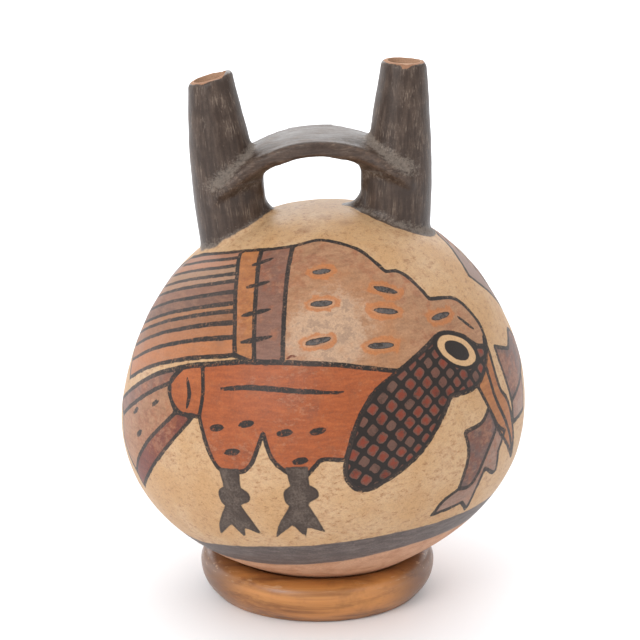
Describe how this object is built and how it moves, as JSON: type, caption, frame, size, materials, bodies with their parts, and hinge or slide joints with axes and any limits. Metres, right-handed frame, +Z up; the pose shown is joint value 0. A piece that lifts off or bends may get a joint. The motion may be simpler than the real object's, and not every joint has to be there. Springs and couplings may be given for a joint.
{
  "type": "double-spout bridge vessel",
  "caption": "Round hollow clay bottle with a painted bird, open spouts joined by a flat strap bridge, leaning in a turned wooden ring stand.",
  "frame": {"origin": "on the surface that the ring stand rests on, under the middle of the whole object's box", "axes": "+Z up; the spouts stand side by side along X, and the painted front faces -Y; the pot leans 5 degrees towards -X"},
  "size_m": [0.1516, 0.1518, 0.2035],
  "materials": {
    "slipped_clay": "burnished painted slip, cream, orange, red and dark grey-brown, worn and dusty",
    "turned_wood": "waxed honey-brown turned wood"
  },
  "bodies": {
    "root": {"vessel": "slipped_clay", "ring_stand": "turned_wood"}
  },
  "joints": []
}
